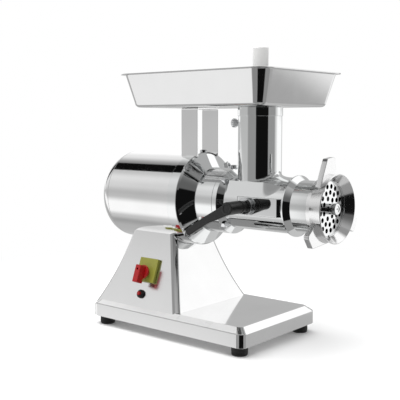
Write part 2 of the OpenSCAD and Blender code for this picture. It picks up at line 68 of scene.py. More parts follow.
AXIS = middle("drum_shell")
AXIS_Z = AXIS.z
THROAT_X = middle("feed_throat").x
BASE = middle("base_shell")
PEDESTAL_X = middle("pedestal_shell").x


# ---- Mesh building -----------------------------------------------------------------------------

def linked(name, data):
    """A new object with this data, in the scene."""
    new = bpy.data.objects.new(name, data)
    bpy.context.scene.collection.objects.link(new)
    return new


def smooth(mesh, smooth_angle=32):
    """Smooth shading with edges sharper than this many degrees kept sharp."""
    mesh.shade_smooth()
    mesh.set_sharp_from_angle(angle=math.radians(smooth_angle))


def piece_from(name, vertices, faces, smooth_angle=32):
    """A new object from plain lists, with doubles merged, normals outwards and smooth shading."""
    mesh = bpy.data.meshes.new(name)
    mesh.from_pydata([tuple(v) for v in vertices], [], faces)
    tidy(mesh, smooth_angle)
    return linked(name, mesh)


def tidy(mesh, smooth_angle=32):
    """Merges doubles, turns the normals outwards and shades smoothly."""
    bm = bmesh.new()
    bm.from_mesh(mesh)
    bmesh.ops.remove_doubles(bm, verts=bm.verts, dist=1e-6)
    bmesh.ops.recalc_face_normals(bm, faces=bm.faces)
    bm.to_mesh(mesh)
    bm.free()
    smooth(mesh, smooth_angle)


def rounded(points, steps=5):
    """A closed outline of (u, v, fillet) points with each corner turned into an arc of that radius."""
    out = []
    count = len(points)
    for i, (u, v, fillet) in enumerate(points):
        here = Vector((u, v))
        before = Vector(points[i - 1][:2]) - here
        after = Vector(points[(i + 1) % count][:2]) - here
        if fillet <= 0 or before.length < 1e-7 or after.length < 1e-7:
            out.append(here)
            continue
        angle = before.angle(after)
        reach = min(fillet / max(math.tan(angle / 2), 1e-3), before.length * 0.49, after.length * 0.49)
        start = here + before.normalized() * reach
        end = here + after.normalized() * reach
        for k in range(steps + 1):
            t = k / steps
            out.append(start * (1 - t) ** 2 + here * 2 * t * (1 - t) + end * t ** 2)
    return out


def lathe(name, outline, origin, axis, steps=160, wobble=None, start=None):
    """Turns a closed outline of (along, radius) points about an axis through origin.

    wobble(angle, along, radius) may stretch the radius; angle counts from the start direction."""
    axis = Vector(axis).normalized()
    side = Vector(start) if start else axis.orthogonal().normalized()
    other = axis.cross(side)
    vertices = []
    for k in range(steps):
        angle = TURN * k / steps
        spoke = side * math.cos(angle) + other * math.sin(angle)
        for along, radius in outline:
            stretch = wobble(angle, along, radius) if wobble else 1
            vertices.append(Vector(origin) + axis * along + spoke * radius * stretch)
    count = len(outline)
    faces = []
    for k in range(steps):
        a, b = k * count, (k + 1) % steps * count
        for i in range(count):
            j = (i + 1) % count
            faces.append((a + i, a + j, b + j, b + i))
    return piece_from(name, vertices, faces)


def loft(name, rings, closed=False, smooth_angle=32):
    """Skins rings of equal length; capped at both ends, or joined end to start if closed."""
    count = len(rings[0])
    vertices = [p for ring in rings for p in ring]
    spans = len(rings) if closed else len(rings) - 1
    faces = []
    for r in range(spans):
        a, b = r * count, (r + 1) % len(rings) * count
        for i in range(count):
            j = (i + 1) % count
            faces.append((a + i, a + j, b + j, b + i))
    if not closed:
        faces.append(tuple(range(count)))
        faces.append(tuple((len(rings) - 1) * count + i for i in range(count)))
    return piece_from(name, vertices, faces, smooth_angle)


def round_rect(centre, half_x, half_y, radius, z, steps=10):
    """Ring of points round a rectangle with rounded corners, from where the +X side meets the +Y corner."""
    ring = []
    for quarter, (sx, sy) in enumerate(((1, 1), (-1, 1), (-1, -1), (1, -1))):
        corner = Vector((centre[0] + sx * (half_x - radius), centre[1] + sy * (half_y - radius), z))
        for k in range(steps + 1):
            angle = (quarter + k / steps) * TURN / 4
            ring.append(corner + Vector((math.cos(angle), math.sin(angle), 0)) * radius)
    return ring


def circle_like(ring, centre, radius, z):
    """Ring of as many points as another, on a circle, each in the direction of its partner."""
    out = []
    for p in ring:
        away = Vector((p.x - centre[0], p.y - centre[1], 0)).normalized()
        out.append(Vector((centre[0], centre[1], z)) + away * radius)
    return out


def sheet_cut(name, outlines, thickness, edge, place, resolution=2):
    """A flat piece with rounded edges, moved by place; outlines after the first are holes."""
    curve = bpy.data.curves.new(name, "CURVE")
    curve.dimensions = "2D"
    curve.fill_mode = "BOTH"
    curve.extrude = thickness / 2 - edge
    curve.bevel_depth = edge
    curve.bevel_resolution = resolution
    curve.offset = -edge
    for outline in outlines:
        spline = curve.splines.new("POLY")
        spline.points.add(len(outline) - 1)
        for point, uv in zip(spline.points, outline):
            point.co = (uv[0], uv[1], 0, 1)
        spline.use_cyclic_u = True
    holder = linked(name + "_curve", curve)
    bpy.context.view_layer.update()
    mesh = bpy.data.meshes.new_from_object(holder)
    bpy.data.objects.remove(holder)
    mesh.transform(place)
    mesh.name = name
    tidy(mesh)
    return linked(name, mesh)


def circle(radius, steps=48, centre=(0, 0)):
    """Outline of a circle as (u, v) points."""
    return [
        (centre[0] + radius * math.cos(TURN * k / steps), centre[1] + radius * math.sin(TURN * k / steps))
        for k in range(steps)
    ]


def basis(x, y, z, origin):
    """Matrix that takes local X, Y and Z to these directions at origin."""
    m = Matrix([Vector(direction).normalized() for direction in (x, y, z)]).transposed().to_4x4()
    m.translation = Vector(origin)
    return m


def combine(name, parts):
    """Joins several new objects into one."""
    bm = bmesh.new()
    for part in parts:
        bm.from_mesh(part.data)
        bpy.data.objects.remove(part)
    mesh = bpy.data.meshes.new(name)
    bm.to_mesh(mesh)
    bm.free()
    smooth(mesh)
    return linked(name, mesh)


def carve(piece, cutter):
    """Cuts cutter's shape out of piece and removes the cutter."""
    modifier = piece.modifiers.new("cut", "BOOLEAN")
    modifier.operation = "DIFFERENCE"
    modifier.solver = "EXACT"
    modifier.object = cutter
    bpy.context.view_layer.update()
    evaluated = piece.evaluated_get(bpy.context.evaluated_depsgraph_get())
    mesh = bpy.data.meshes.new_from_object(evaluated)
    piece.modifiers.clear()
    old = piece.data
    piece.data = mesh
    bpy.data.meshes.remove(old)
    bpy.data.objects.remove(cutter)
    smooth(mesh)
    return piece


def rod(name, start, end, radius, steps=64):
    """Plain closed cylinder between two points, for cutting with."""
    axis = Vector(end) - Vector(start)
    return lathe(name, [(0, 0), (0, radius), (axis.length, radius), (axis.length, 0)], start, axis, steps)


def hexagon(radius, angle):
    """Distance from the centre of a hexagon with that corner radius to its side."""
    return radius * math.cos(math.pi / 6) / math.cos((angle % (TURN / 6)) - math.pi / 6)


def head_ring(origin, axis, along, reach):
    """Ring about an axis, as far out as reach says: a radius, or a function of the angle."""
    steps = 96
    axis = Vector(axis).normalized()
    side = axis.orthogonal().normalized()
    other = axis.cross(side)
    points = []
    for k in range(steps):
        angle = TURN * k / steps
        r = reach(angle) if callable(reach) else reach
        points.append(Vector(origin) + axis * along + (side * math.cos(angle) + other * math.sin(angle)) * r)
    return points


def hex_head(name, origin, axis, corner_r, height, washer_r=0):
    """Hexagon head whose top corners are turned off, standing on an optional washer face."""
    chamfer = corner_r * 0.14
    flat_r = corner_r * math.cos(math.pi / 6)

    def turned_to(limit):
        return lambda angle: min(hexagon(corner_r, angle), limit)

    foot = [(0, washer_r), (1 * MM, washer_r), (1.2 * MM, turned_to(corner_r))]
    if not washer_r:
        foot = [(0, turned_to(corner_r))]
    head = [
        (height - chamfer, turned_to(corner_r)), (height - chamfer * 0.4, turned_to(flat_r * 1.04)),
        (height, turned_to(flat_r * 0.96)), (height, flat_r * 0.5)]
    return loft(name, [head_ring(origin, axis, along, reach) for along, reach in foot + head])


def socket_head(name, origin, axis, radius, height):
    """Socket-head screw: a turned head with a hexagon recess in its top."""
    edge = radius * 0.12

    def socket(r):
        return lambda angle: hexagon(r, angle)

    rings = [
        (-height, radius), (-edge, radius), (-edge * 0.3, radius - edge * 0.3), (0, radius - edge),
        (0, radius * 0.62), (-edge * 0.6, socket(radius * 0.55)), (-height * 0.6, socket(radius * 0.53)),
        (-height * 0.62, radius * 0.2)]
    return loft(name, [head_ring(origin, axis, along, reach) for along, reach in rings])


# ---- Materials ---------------------------------------------------------------------------------

def new_material(name):
    """A node material with its tree and main shader."""
    material = bpy.data.materials.new(name)
    material.use_nodes = True
    tree = material.node_tree
    return material, tree, tree.nodes["Principled BSDF"]


def texture(tree, kind, scale, stretch=(1, 1, 1), **inputs):
    """A procedural texture in object space, stretched along the axes."""
    place = tree.nodes.new("ShaderNodeTexCoord")
    mapping = tree.nodes.new("ShaderNodeMapping")
    mapping.inputs["Scale"].default_value = stretch
    tree.links.new(place.outputs["Object"], mapping.inputs["Vector"])
    node = tree.nodes.new(kind)
    node.inputs["Scale"].default_value = scale
    for key, value in inputs.items():
        node.inputs[key].default_value = value
    tree.links.new(mapping.outputs["Vector"], node.inputs["Vector"])
    return node


def ranged(tree, source, low, high, from_low=0.3, from_high=0.7):
    """A texture's value, stretched to run from low to high."""
    node = tree.nodes.new("ShaderNodeMapRange")
    node.inputs["From Min"].default_value = from_low
    node.inputs["From Max"].default_value = from_high
    node.inputs["To Min"].default_value = low
    node.inputs["To Max"].default_value = high
    tree.links.new(source, node.inputs["Value"])
    return node.outputs["Result"]


def tinted(tree, factor, dark, light):
    """Colour between dark and light."""
    node = tree.nodes.new("ShaderNodeMix")
    node.data_type = "RGBA"
    node.inputs["A"].default_value = (*dark, 1)
    node.inputs["B"].default_value = (*light, 1)
    tree.links.new(factor, node.inputs["Factor"])
    return node.outputs["Result"]


def bump(tree, height, strength, distance):
    node = tree.nodes.new("ShaderNodeBump")
    node.inputs["Strength"].default_value = strength
    node.inputs["Distance"].default_value = distance
    tree.links.new(height, node.inputs["Height"])
    return node.outputs["Normal"]


def steel(name, colour, roughness, grain=(1, 1, 1), grain_scale=600, grain_depth=0.05, haze=0.04):
    """Polished or brushed steel: grain along one axis, hazy patches and a trace of waviness."""
    material, tree, shader = new_material(name)
    shader.inputs["Metallic"].default_value = 1
    haze_map = texture(tree, "ShaderNodeTexNoise", 9, Detail=4, Roughness=0.55)
    grain_map = texture(tree, "ShaderNodeTexNoise", grain_scale, grain, Detail=3, Roughness=0.6)
    dark = tuple(c * 0.94 for c in colour)
    tree.links.new(tinted(tree, ranged(tree, haze_map.outputs["Fac"], 0, 1), dark, colour),
                   shader.inputs["Base Color"])
    add = tree.nodes.new("ShaderNodeMath")
    add.operation = "ADD"
    tree.links.new(ranged(tree, haze_map.outputs["Fac"], roughness - haze / 2, roughness + haze / 2),
                   add.inputs[0])
    tree.links.new(ranged(tree, grain_map.outputs["Fac"], 0, haze), add.inputs[1])
    tree.links.new(add.outputs["Value"], shader.inputs["Roughness"])
    tree.links.new(bump(tree, grain_map.outputs["Fac"], grain_depth, 0.0002), shader.inputs["Normal"])
    return material


def plastic(name, colour, roughness, grain_scale=900, grain_depth=0.08, mottle=0.12, specular=0.5):
    """Moulded plastic or rubber: fine grain, slight colour drift and worn, shinier patches."""
    material, tree, shader = new_material(name)
    shader.inputs["Specular IOR Level"].default_value = specular
    drift = texture(tree, "ShaderNodeTexNoise", 25, Detail=4)
    grain = texture(tree, "ShaderNodeTexNoise", grain_scale, Detail=2)
    dark = tuple(c * (1 - mottle) for c in colour)
    tree.links.new(tinted(tree, ranged(tree, drift.outputs["Fac"], 0, 1), dark, colour),
                   shader.inputs["Base Color"])
    tree.links.new(ranged(tree, drift.outputs["Fac"], roughness * 0.85, min(roughness * 1.15, 1)),
                   shader.inputs["Roughness"])
    tree.links.new(bump(tree, grain.outputs["Fac"], grain_depth, 0.0003), shader.inputs["Normal"])
    return material


# colour, roughness, grain along the axes, grain scale, grain depth, haze
STEELS = {
    "stainless_sheet": ((0.88, 0.88, 0.88), 0.05, (1, 1, 30), 260, 0.01, 0.03),
    "polished_casting": ((0.86, 0.87, 0.87), 0.03, (1, 1, 1), 90, 0.012, 0.02),
    "tray_sheet": ((0.76, 0.76, 0.76), 0.07, (2, 2, 60), 220, 0.02, 0.05),
    "brushed_side": ((0.93, 0.93, 0.93), 0.16, (1, 1, 40), 220, 0.02, 0.05),
    # darker copy of brushed_side: painted shade on the base's side skirts
    "brushed_skirt_painted_shade": ((0.74, 0.74, 0.74), 0.16, (1, 1, 40), 220, 0.02, 0.05),
    "turned_ring": ((0.86, 0.86, 0.86), 0.12, (30, 1, 1), 200, 0.02, 0.04),
    "bright_fastener": ((0.78, 0.79, 0.80), 0.10, (1, 1, 1), 500, 0.05, 0.05),
    "tool_steel": ((0.60, 0.60, 0.61), 0.25, (1, 30, 30), 300, 0.15, 0.08),
    "grey_iron": ((0.30, 0.30, 0.31), 0.5, (1, 1, 1), 700, 0.4, 0.10),
    "cast_alloy": ((0.58, 0.59, 0.61), 0.45, (1, 1, 1), 400, 0.5, 0.12),
    "copper_winding": ((0.60, 0.25, 0.10), 0.30, (60, 1, 1), 120, 0.6, 0.08),
    "bronze": ((0.62, 0.42, 0.17), 0.28, (1, 20, 20), 200, 0.2, 0.08),
    "can_metal": ((0.62, 0.62, 0.64), 0.35, (1, 20, 20), 200, 0.15, 0.08),
    # near-black steel on the plate holes' walls: painted shade inside the holes
    "bore_painted_shade": ((0.05, 0.05, 0.05), 0.45, (1, 1, 1), 500, 0.05, 0.05),
}

# colour, roughness, grain scale, grain depth, mottle and, where it is not 0.5, specular level
PLASTICS = {
    # grey non-metal for the steel bevels: painted sheen standing in for their reflection
    "bevel_painted_sheen": ((0.60, 0.60, 0.60), 0.3, 260, 0.02, 0.03),
    "black_rubber": ((0.018, 0.018, 0.018), 0.62, 700, 0.25, 0.3, 0.35),
    "brown_rubber": ((0.15, 0.06, 0.03), 0.6, 700, 0.2, 0.3),
    "white_plastic": ((0.86, 0.86, 0.85), 0.42, 500, 0.06, 0.04),
    "black_plastic": ((0.014, 0.014, 0.014), 0.36, 1100, 0.25, 0.25, 0.4),
    "dark_plastic": ((0.07, 0.07, 0.075), 0.5, 900, 0.2, 0.2),
    "olive_plastic": ((0.27, 0.27, 0.045), 0.35, 900, 0.06, 0.12),
    "red_plastic": ((0.33, 0.006, 0.007), 0.28, 900, 0.05, 0.15),
}

MATERIALS = {name: steel(name, *look) for name, look in STEELS.items()}
MATERIALS.update({name: plastic(name, *look) for name, look in PLASTICS.items()})


def place(piece, *nodes, slot=None, finish=None):
    """Gives a new piece its material and body, and lets it stand for these CAD nodes."""
    name = slot or SLOTS[nodes[0]]
    piece.data.materials.clear()
    piece.data.materials.append(MATERIALS[finish or name])
    normals = piece.modifiers.new("flat faces stay flat", "WEIGHTED_NORMAL")
    normals.keep_sharp = True
    normals.weight = 100
    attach(piece, BODIES[nodes[0]])
    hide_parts(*nodes)
    return piece


# ---- Base, feet and pedestal -------------------------------------------------------------------

def build_base():
    low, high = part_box("base_shell")
    half = (high - low) / 2
    corner = 14.3 * MM
    lip, skirt = low.z, low.z + 24.8 * MM
    inset = 12.2 * MM
    slope = (high.z - skirt) / inset
    steps = [  # inset from the outside, height
        (3.0 * MM, lip + 3 * MM), (3.0 * MM, lip + 0.3 * MM), (2.6 * MM, lip), (0.4 * MM, lip),
        (0, lip + 0.5 * MM), (0, skirt - 0.8 * MM), (0.2 * MM, skirt - 0.1 * MM),
        (0.9 * MM, skirt + slope * 0.9 * MM), (inset - 1 * MM, high.z - slope * 1 * MM),
        (inset - 0.2 * MM, high.z - 0.1 * MM), (inset + 0.8 * MM, high.z), (inset + 2 * MM, high.z)]
    rings = [
        round_rect(BASE, half.x - s, half.y - s, max(corner - 0.3 * s, 3 * MM), z, 14)
        for s, z in steps
    ]
    block = place(loft("base_shell_skin", rings), "base_shell")
    # The base's side skirts get the darker copy of the brushed steel: painted shade.
    brush_sides(block, "brushed_skirt_painted_shade")


def brush_sides(piece, side):
    """Gives the faces that look sideways along Y a brushed finish, and the bevels above them a grey
    non-metal one.

    The grey one is a plain non-metal shader whose tone matches the steel bevel's reflection: painted sheen,
    not steel."""
    piece.data.materials.append(MATERIALS[side])
    piece.data.materials.append(MATERIALS["bevel_painted_sheen"])
    for face in piece.data.polygons:
        n = face.normal
        if abs(n.y) > 0.55 and abs(n.x) < 0.05:
            # index 1: the side finish; index 2: the bevels, in grey painted sheen
            face.material_index = 2 if 0.7 < n.z < 0.85 else 1


def build_feet():
    foot_h = size("feet").z
    low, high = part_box("feet")
    r = 15 * MM
    profile = rounded([
        (0, 7 * MM, 0), (0, r - 1 * MM, 1.2 * MM), (4.2 * MM, r, 0.8 * MM),
        (4.6 * MM, r - 0.9 * MM, 0.3 * MM),
        (5.6 * MM, r - 0.9 * MM, 0.3 * MM), (6 * MM, r, 0.6 * MM), (foot_h, r - 0.3 * MM, 0.6 * MM),
        (foot_h, 3.3 * MM, 0), (3 * MM, 3.3 * MM, 0), (3 * MM, 7 * MM, 0.4 * MM)])
    parts = [
        lathe(f"foot_{i}", profile, (x, y, 0), (0, 0, 1), 64)
        for i, (x, y) in enumerate(
            (x, y) for x in (low.x + r, high.x - r) for y in (low.y + r, high.y - r))
    ]
    place(combine("rubber_feet", parts), "feet")


def flare_half(z):
    """Half width of the pedestal at height z, on the CAD's concave arc."""
    deck, half, lean, radius = 51.7 * MM, 108.4 * MM, math.radians(26.6), 680 * MM
    centre_z = deck + radius * math.sin(lean)
    return half + radius * math.cos(lean) - math.sqrt(radius ** 2 - (centre_z - z) ** 2)


def build_pedestal():
    bottom, top, levels, corner = 44 * MM, 200 * MM, 40, 12 * MM
    heights = [bottom + (top - bottom) * i / levels for i in range(levels + 1)]
    rings = [round_rect((PEDESTAL_X, 0), flare_half(z), flare_half(z), corner, z, 12) for z in heights]
    brush_sides(place(loft("pedestal_skin", rings, smooth_angle=40), "pedestal_shell"), "brushed_side")


# ---- Drum and front casting --------------------------------------------------------------------

def along_x(x):
    """Point on the auger axis, at x."""
    return Vector((x, 0, AXIS_Z))


def spoke(angle):
    """Direction away from the auger axis, in degrees from +Y towards +Z."""
    turn = math.radians(angle)
    return Vector((0, math.cos(turn), math.sin(turn)))


def turned(name, outline, x):
    """Lathe about the auger axis, from x on."""
    return lathe(name, outline, along_x(x), (1, 0, 0), 192)


def build_drum():
    low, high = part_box("drum_shell")
    r = (high.z - low.z) / 2
    length = high.x - low.x
    wall = 2 * MM
    edge = 0.7 * MM
    shell = rounded([(0, r - wall, 0.2 * MM), (0, r, edge), (length, r, edge), (length, r - wall, 0.2 * MM)])
    place(turned("drum_skin", shell, low.x), "drum_shell")

    cap_low, cap_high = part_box("rear_cap")
    depth = cap_high.x - cap_low.x
    arc_r = 30 * MM
    arc = [
        (arc_r - arc_r * math.cos(a), r - arc_r + arc_r * math.sin(a))
        for a in (TURN / 4 * k / 16 for k in range(17))
    ]
    inside = [
        (arc_r - (arc_r - wall) * math.cos(a), r - arc_r + (arc_r - wall) * math.sin(a))
        for a in (TURN / 4 * k / 10 for k in range(10, -1, -1))
    ]
    outline = [(0, 0)] + arc[:-1] + [
        (depth - edge, r), (depth - edge * 0.3, r - edge * 0.3), (depth, r - edge)] + inside + [(wall, 0)]
    place(turned("rear_cap_skin", outline, cap_low.x), "rear_cap")


LUG_ANGLES = [45, 135, 225, 315]
CONE = {"x0": -36 * MM, "r0": 87 * MM, "x1": -16 * MM, "r1": 61.5 * MM}


def on_cone(angle):
    """Matrix with X down the cone's slope and Z along its outward normal, at one angle round the axis."""
    away = spoke(angle)
    slope = Vector((CONE["x1"] - CONE["x0"], 0, 0)) + away * (CONE["r1"] - CONE["r0"])
    normal = Vector((CONE["r0"] - CONE["r1"], 0, 0)) + away * (CONE["x1"] - CONE["x0"])
    origin = along_x(CONE["x0"]) + away * CONE["r0"]
    return basis(slope, normal.cross(slope), normal, origin)


def build_casting():
    low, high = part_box("gearbox_housing")
    band_r, wall = 90 * MM, 4 * MM
    x0 = low.x
    outline = rounded([
        (0, CONE["r0"] - wall, 0), (0, band_r, 0.7 * MM), (CONE["x0"] - 3 * MM - x0, band_r, 3 * MM),
        (CONE["x0"] - x0, CONE["r0"], 2 * MM), (CONE["x1"] - x0, CONE["r1"], 2 * MM),
        (high.x - x0, CONE["r1"], 0.7 * MM), (high.x - x0, CONE["r1"] - wall, 0),
        (CONE["x1"] + 6 * MM - x0, CONE["r1"] - wall, 0), (CONE["x1"] + 6 * MM - x0, 28 * MM, 0),
        (CONE["x1"] - x0, 28 * MM, 0), (CONE["x1"] - 2 * MM - x0, CONE["r1"] - wall, 0),
        (CONE["x0"] - 6 * MM - x0, CONE["r0"] - wall, 0)], 6)
    parts = [turned("casting_body", outline, x0)]
    half, bolt_s, lug_h = 10 * MM, 4 * MM, 5 * MM
    slope_l = math.hypot(CONE["x1"] - CONE["x0"], CONE["r0"] - CONE["r1"])
    end = [
        (bolt_s + half * math.cos(a), half * math.sin(a))
        for a in (TURN / 4 + TURN / 2 * k / 20 for k in range(21))
    ]
    lug = end + [(slope_l, -half), (slope_l, half)]
    lift = Matrix.Translation((0, 0, lug_h / 2 - 1.5 * MM))
    bolts = []
    for angle in LUG_ANGLES:
        here = on_cone(angle)
        parts.append(sheet_cut("lug", [lug], lug_h + 3 * MM, 1.2 * MM, here @ lift, 3))
        top = here @ Vector((bolt_s, 0, lug_h + 2.5 * MM))
        bolts.append(socket_head("lug_bolt", top, here.to_3x3() @ Vector((0, 0, 1)), 5.5 * MM, 3 * MM))
    place(combine("casting_skin", parts), "gearbox_housing")
    place(combine("lug_bolts", bolts), "housing_bolts")

    plug = middle("oil_plug")
    plug_base = Vector((plug.x, 0, AXIS_Z + band_r - 0.2 * MM))
    place(hex_head("oil_plug_head", plug_base, (0, 0, 1), 6.5 * MM, 4.7 * MM, 7.5 * MM), "oil_plug")


# ---- Grinding head -----------------------------------------------------------------------------

BARREL_R = 50 * MM
BORE_R = 42.5 * MM
THROAT_R = 40 * MM


def throat_rod(name, radius):
    """Cutter up the throat's axis from the auger axis."""
    foot = along_x(THROAT_X)
    return rod(name, foot, (THROAT_X, 0, AXIS_Z + 80 * MM), radius, 96)


def build_barrel():
    x0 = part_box("head_barrel")[0].x
    neck_r = CONE["r1"]

    def at(x):
        return x * MM - x0

    outline = rounded([
        (0, 24.3 * MM, 0), (0, neck_r, 0.6 * MM), (at(34), neck_r, 0.8 * MM), (at(43), BARREL_R, 1.2 * MM),
        (at(171), BARREL_R, 0.8 * MM), (at(171), 54.5 * MM, 0.5 * MM), (at(174), 54.5 * MM, 0.5 * MM),
        (at(184), 46.5 * MM, 0.8 * MM), (at(219), 46.5 * MM, 0.3 * MM), (at(219), 49.4 * MM, 0.3 * MM),
        (at(226), 49.4 * MM, 0.3 * MM), (at(226), BORE_R, 0.3 * MM), (at(34.5), BORE_R, 0),
        (at(34.5), 24.3 * MM, 0)])
    barrel = carve(turned("barrel_body", outline, x0), throat_rod("throat_cut", 36 * MM))

    start, end, near, root, height = 76 * MM, 170.5 * MM, -57 * MM, -40 * MM, 33 * MM
    slope = 6.5 * MM
    boss_outline = rounded([
        (start, near, 8 * MM), (end - slope, near, 0.8 * MM), (end, near + slope, 0.8 * MM),
        (end, root, 0), (start, root, 0)], 10)
    boss = sheet_cut("boss", [boss_outline], height, 1.6 * MM, Matrix.Translation((0, 0, AXIS_Z)), 3)
    place(combine("head_skin", [barrel, boss]), "head_barrel")


def barrel_top(y):
    """Height of the barrel's top at y."""
    return AXIS_Z + math.sqrt(max(BARREL_R ** 2 - y ** 2, 0))


# The saddle's corners: their angle above the horizontal and their distance from the auger axis
SHOULDER_ANGLE = math.radians(46)
SHOULDER_R = 58.3 * MM


def build_saddle():
    """Casting over the barrel's top that squares its shoulders under the throat, tapering off along X."""
    start, end = THROAT_X - 52 * MM, 168 * MM
    full_start, full_end = THROAT_X - 40 * MM, THROAT_X + 36 * MM
    steps = 30
    base_r = BARREL_R - 0.1 * MM
    stations = [(end - start) * i / steps for i in range(steps + 1)]
    outline = [(0, base_r - 3 * MM)] + [(s, base_r) for s in stations] + [(end - start, base_r - 3 * MM)]

    def share(x):
        """How much of the shoulder there is at x, from 0 to 1."""
        t = min((x - start) / (full_start - start), (end - x) / (end - full_end), 1)
        return t * t * (3 - 2 * t)

    def shoulders(angle, along, radius):
        """Stretch that draws the circle out to a corner on each side; the inside stays round."""
        if radius < base_r - 1 * MM:
            return 1
        shoulder_r = base_r + (SHOULDER_R - base_r) * share(start + along)
        reach = math.acos(base_r / shoulder_r)
        from_shoulder = min(abs(angle - SHOULDER_ANGLE), abs(angle - (math.pi - SHOULDER_ANGLE)))
        return 1 / math.cos(from_shoulder - reach) if from_shoulder < reach else 1

    saddle = lathe("throat_saddle", outline, along_x(start), (1, 0, 0), 360, shoulders, (0, 1, 0))
    return carve(saddle, throat_rod("saddle_cut", 38 * MM))


def build_throat():
    low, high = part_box("feed_throat")
    height = high.z - AXIS_Z
    collar = 16 * MM
    bottom = 20 * MM
    tube = lathe("throat_tube", rounded([
        (bottom, 36 * MM, 0), (bottom, THROAT_R, 0), (height - collar, THROAT_R, 0.3 * MM),
        (height - collar, THROAT_R + 1.2 * MM, 0.6 * MM), (height, THROAT_R + 1.2 * MM, 0.9 * MM),
        (height, 36 * MM, 0.6 * MM)]), (THROAT_X, 0, AXIS_Z), (0, 0, 1), 160)
    barrel_cut = rod("barrel_cut", along_x(low.x - 0.1), along_x(high.x + 0.1), BARREL_R - 0.3 * MM, 128)
    tube = carve(tube, barrel_cut)

    saddle = build_saddle()
    shoulder_z = AXIS_Z + SHOULDER_R * math.sin(SHOULDER_ANGLE)
    steps, arc_steps = 144, 8
    directions = [Vector((math.cos(TURN * i / steps), math.sin(TURN * i / steps), 0)) for i in range(steps)]
    centre = Vector((THROAT_X, 0, 0))
    rings = []
    for k in range(arc_steps + 1):
        t = k / arc_steps
        ring = []
        for d in directions:
            reach = 30 * MM if d.x > 0 else 8 * MM
            foot_r = THROAT_R + 0.6 * MM + reach * d.x ** 2
            corner_z = max(barrel_top(THROAT_R * d.y), shoulder_z)
            foot_z = max(barrel_top(foot_r * d.y), shoulder_z) - 0.3 * MM
            rise = 2 * MM + 8 * MM * max(d.x, 0)
            start = centre + d * (THROAT_R + 0.1 * MM) + Vector((0, 0, corner_z + rise))
            bend = centre + d * THROAT_R + Vector((0, 0, corner_z))
            foot = centre + d * foot_r + Vector((0, 0, foot_z))
            ring.append(start * (1 - t) ** 2 + bend * 2 * t * (1 - t) + foot * t ** 2)
        rings.append(ring)
    inner = [centre + d * 38 * MM + Vector((0, 0, shoulder_z - 3 * MM)) for d in directions]
    fillet = loft("throat_fillet", rings + [inner], closed=True, smooth_angle=60)
    place(combine("throat_skin", [tube, fillet, saddle]), "feed_throat")


def build_head_fasteners():
    spot_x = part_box("head_flange_bolts")[1].x - 9 * MM
    parts = []
    for angle in LUG_ANGLES:
        origin = along_x(spot_x) + spoke(angle) * 56 * MM
        parts.append(hex_head("flange_bolt", origin, (1, 0, 0), 6.5 * MM, 9 * MM))
    place(combine("flange_bolts", parts), "head_flange_bolts")
    lock = middle("head_lock_screw")
    place(hex_head("lock_screw", (lock.x, 0, AXIS_Z + CONE["r1"]), (0, 0, 1), 6.5 * MM, 6 * MM, 7 * MM),
          "head_lock_screw")


def build_plate():
    low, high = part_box("perforated_plate")
    thickness = high.x - low.x
    r = (high.z - low.z) / 2
    outlines = [circle(r, 128), circle(10.05 * MM, 64)]
    for ring_r, count in ((17.5 * MM, 7), (28 * MM, 13), (38.5 * MM, 18)):
        for k in range(count):
            a = TURN * k / count
            outlines.append(circle(4.2 * MM, 32, (ring_r * math.cos(a), ring_r * math.sin(a))))
    where = basis((0, 1, 0), (0, 0, 1), (1, 0, 0), along_x((low.x + high.x) / 2))
    plate = place(sheet_cut("plate_skin", outlines, thickness, 0.15 * MM, where), "perforated_plate")
    # The holes' walls get near-black steel: painted shade standing in for the dark inside the holes.
    plate.data.materials.append(MATERIALS["bore_painted_shade"])
    for face in plate.data.polygons:
        off_axis = math.hypot(face.center.y, face.center.z - AXIS_Z)
        if abs(face.normal.x) < 0.1 and off_axis < 47 * MM:  # the holes' walls
            face.material_index = 1

    pin_low, pin_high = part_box("auger_pin")
    length = pin_high.x - pin_low.x
    pin = lathe("pin_turned", rounded([
        (0, 0, 0), (0, 10 * MM, 0.5 * MM), (length - 0.2 * MM, 10 * MM, 1.1 * MM),
        (length, 6.5 * MM, 0.6 * MM),
        (length - 1.2 * MM, 5.6 * MM, 0.4 * MM), (length - 1.2 * MM, 2 * MM, 0.2 * MM),
        (length - 3.5 * MM, 0, 0)]), along_x(pin_low.x), (1, 0, 0), 96)
    s = 10 * MM
    knife_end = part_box("knife")[1].x
    square = sheet_cut("pin_square", [[(-s, -s), (s, -s), (s, s), (-s, s)]], knife_end - pin_low.x, 0.4 * MM,
                       basis((0, 1, 0), (0, 0, 1), (1, 0, 0), along_x((pin_low.x + knife_end) / 2)))
    place(combine("auger_pin_skin", [pin, square]), "auger_pin")


